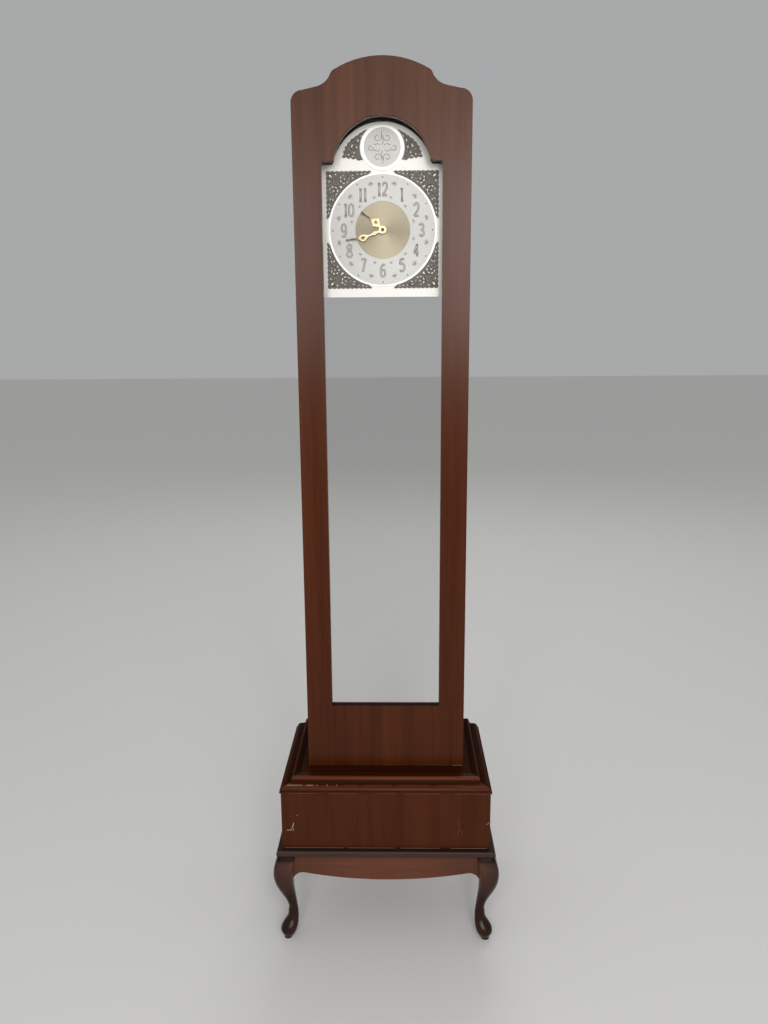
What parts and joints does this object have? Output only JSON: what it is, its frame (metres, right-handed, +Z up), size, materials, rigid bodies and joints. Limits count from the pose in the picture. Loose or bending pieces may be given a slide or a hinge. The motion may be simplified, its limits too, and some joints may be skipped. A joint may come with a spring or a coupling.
{
  "type": "longcase clock",
  "caption": "Slim longcase clock on cabriole legs with an arched, glazed full-length door, an arched brass dial and a battery movement behind it.",
  "frame": {"origin": "on the floor under the middle of the stand", "axes": "+Z up, the glazed door faces -Y, +X to the right of someone looking at the dial"},
  "size_m": [0.495, 0.343, 1.8319],
  "materials": {
    "mahogany": "satin lacquered mahogany veneer, grain upright",
    "dark_mahogany": "gloss dark stained hardwood",
    "apron_veneer": "satin red-brown veneer, grain along the rail",
    "plain_wood": "plain stained softwood",
    "dial_board_wood": "plywood stained black",
    "pane": "clear float glass",
    "dial_brass": "pale polished brass sheet",
    "centre_brass": "circular brushed brass",
    "silvered": "silvered, finely brushed",
    "bright_rim": "polished rim",
    "antique_bronze": "antiqued cast brass",
    "hand_brass": "gold lacquered brass",
    "hinge_brass": "plain brass",
    "steel": "bare steel",
    "black_plastic": "black moulded plastic",
    "gear_plastic": "white moulded plastic",
    "copper": "enamelled copper wire",
    "circuit_green": "green circuit board",
    "cell_wrap": "plain wrapped cell"
  },
  "bodies": {
    "case": {"arch_spandrels": "antique_bronze", "battery": "cell_wrap", "battery_contacts": "steel", "boss_disc": "silvered", "boss_ring": "bright_rim", "bush_nut": "hand_brass", "case_hinge_leaves": "hinge_brass", "case_hinge_screws": "hinge_brass", "catch_magnet": "black_plastic", "chapter_ring": "silvered", "circuit_board": "circuit_green", "corner_spandrels": "antique_bronze", "dial_battens": "plain_wood", "dial_board": "dial_board_wood", "dial_centre": "centre_brass", "dial_plate": "dial_brass", "dial_screws": "hinge_brass", "front_apron": "apron_veneer", "front_left_leg": "dark_mahogany", "front_moulding": "mahogany", "front_right_leg": "dark_mahogany", "left_apron": "apron_veneer", "left_moulding": "mahogany", "motor_coil": "copper", "movement_cover": "black_plastic", "movement_shell": "black_plastic", "plinth_back": "plain_wood", "plinth_corner_blocks": "plain_wood", "plinth_front": "mahogany", "plinth_left": "mahogany", "plinth_right": "mahogany", "plinth_top": "mahogany", "rear_apron": "apron_veneer", "rear_left_leg": "dark_mahogany", "rear_rail": "plain_wood", "rear_right_leg": "dark_mahogany", "right_apron": "apron_veneer", "right_moulding": "mahogany", "stand_corner_blocks": "plain_wood", "stand_top": "dark_mahogany", "stator": "steel", "trunk_floor": "plain_wood", "trunk_left_side": "mahogany", "trunk_right_side": "mahogany", "trunk_roof": "plain_wood"},
    "door": {"door_panel": "mahogany", "door_glass": "pane", "glazing_beads": "plain_wood", "door_hinge_leaves": "hinge_brass", "door_hinge_screws": "hinge_brass", "catch_strike": "steel"},
    "minute": {"centre_arbor": "gear_plastic", "minute_hand": "hand_brass", "hand_nut": "hand_brass"},
    "hour": {"hour_wheel": "gear_plastic", "hour_hand": "hand_brass"},
    "motion": {"motion_wheel": "gear_plastic"},
    "intermediate": {"intermediate_wheel": "gear_plastic"},
    "rotor": {"rotor": "steel"},
    "knob": {"setting_knob": "black_plastic"}
  },
  "joints": [
    {"name": "door_hinge", "type": "hinge", "parent": "case", "child": "door", "pos_m": [0.1689, -0.0611, 1.1], "axis": [0, 0, 1], "range_deg": [0, 105]},
    {"name": "minute_spin", "type": "hinge", "parent": "case", "child": "minute", "pos_m": [0, -0.03, 1.5284], "axis": [0, 1, 0], "continuous": true},
    {"name": "hour_spin", "type": "hinge", "parent": "case", "child": "hour", "pos_m": [0, -0.03, 1.5284], "axis": [0, 1, 0], "continuous": true},
    {"name": "motion_spin", "type": "hinge", "parent": "case", "child": "motion", "pos_m": [-0.00905, -0.03, 1.52511], "axis": [0, 1, 0], "continuous": true},
    {"name": "intermediate_spin", "type": "hinge", "parent": "case", "child": "intermediate", "pos_m": [0.00811, -0.03, 1.53651], "axis": [0, 1, 0], "continuous": true},
    {"name": "rotor_spin", "type": "hinge", "parent": "case", "child": "rotor", "pos_m": [0.00644, -0.03, 1.54599], "axis": [0, 1, 0], "continuous": true},
    {"name": "knob_spin", "type": "hinge", "parent": "case", "child": "knob", "pos_m": [-0.0181, -0.03, 1.52181], "axis": [0, 1, 0], "continuous": true}
  ],
  "couplings": [
    {"joint": "hour_spin", "follows": "minute_spin", "ratio": 0.083333},
    {"joint": "motion_spin", "follows": "minute_spin", "ratio": -0.33333},
    {"joint": "intermediate_spin", "follows": "minute_spin", "ratio": -10},
    {"joint": "rotor_spin", "follows": "minute_spin", "ratio": 90},
    {"joint": "knob_spin", "follows": "minute_spin", "ratio": 1}
  ]
}
